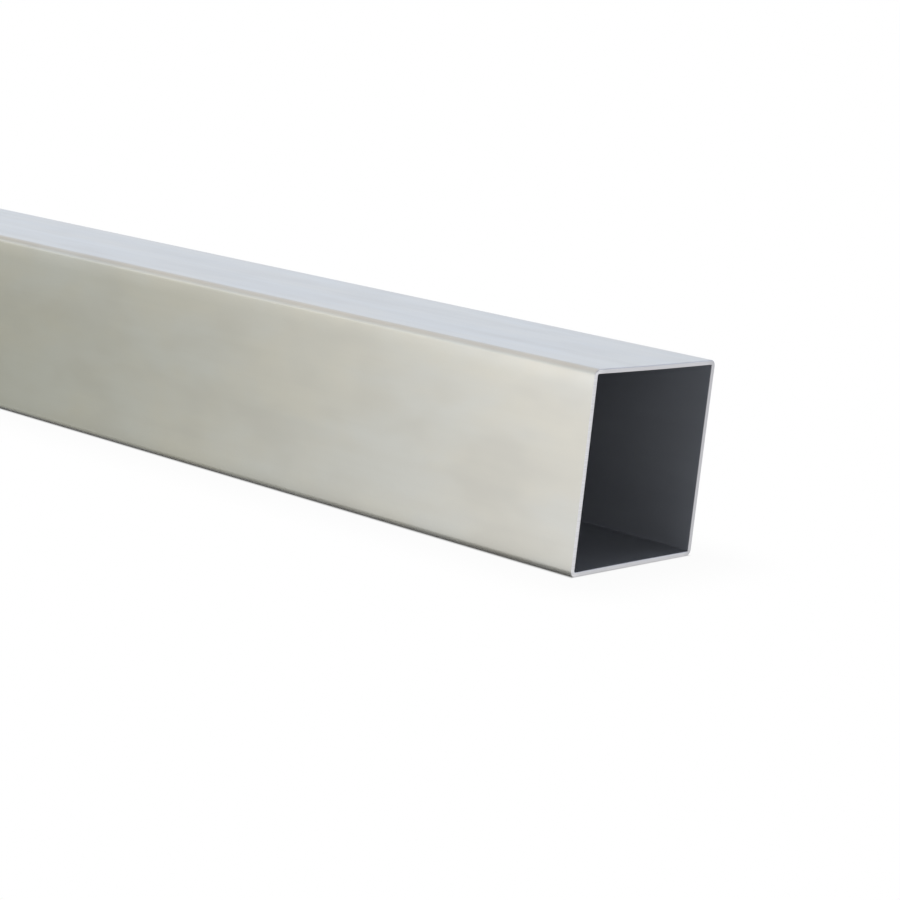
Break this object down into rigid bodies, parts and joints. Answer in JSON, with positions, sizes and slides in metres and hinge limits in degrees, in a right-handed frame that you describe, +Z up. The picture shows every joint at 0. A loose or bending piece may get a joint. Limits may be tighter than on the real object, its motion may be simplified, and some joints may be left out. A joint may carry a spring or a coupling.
{
  "type": "square metal tube",
  "caption": "Straight length of thin-walled square steel tube with small rounded corners, satin outside faces and plain sawn, deburred open ends.",
  "frame": {"origin": "middle of the underside, halfway along the length", "axes": "+X along the tube towards the end seen from the front, +Y towards the back, +Z up"},
  "size_m": [1, 0.05, 0.05],
  "materials": {
    "satin_steel": "satin mill finish with fine lengthwise grain"
  },
  "bodies": {
    "root": {"tube": "satin_steel"}
  },
  "joints": []
}
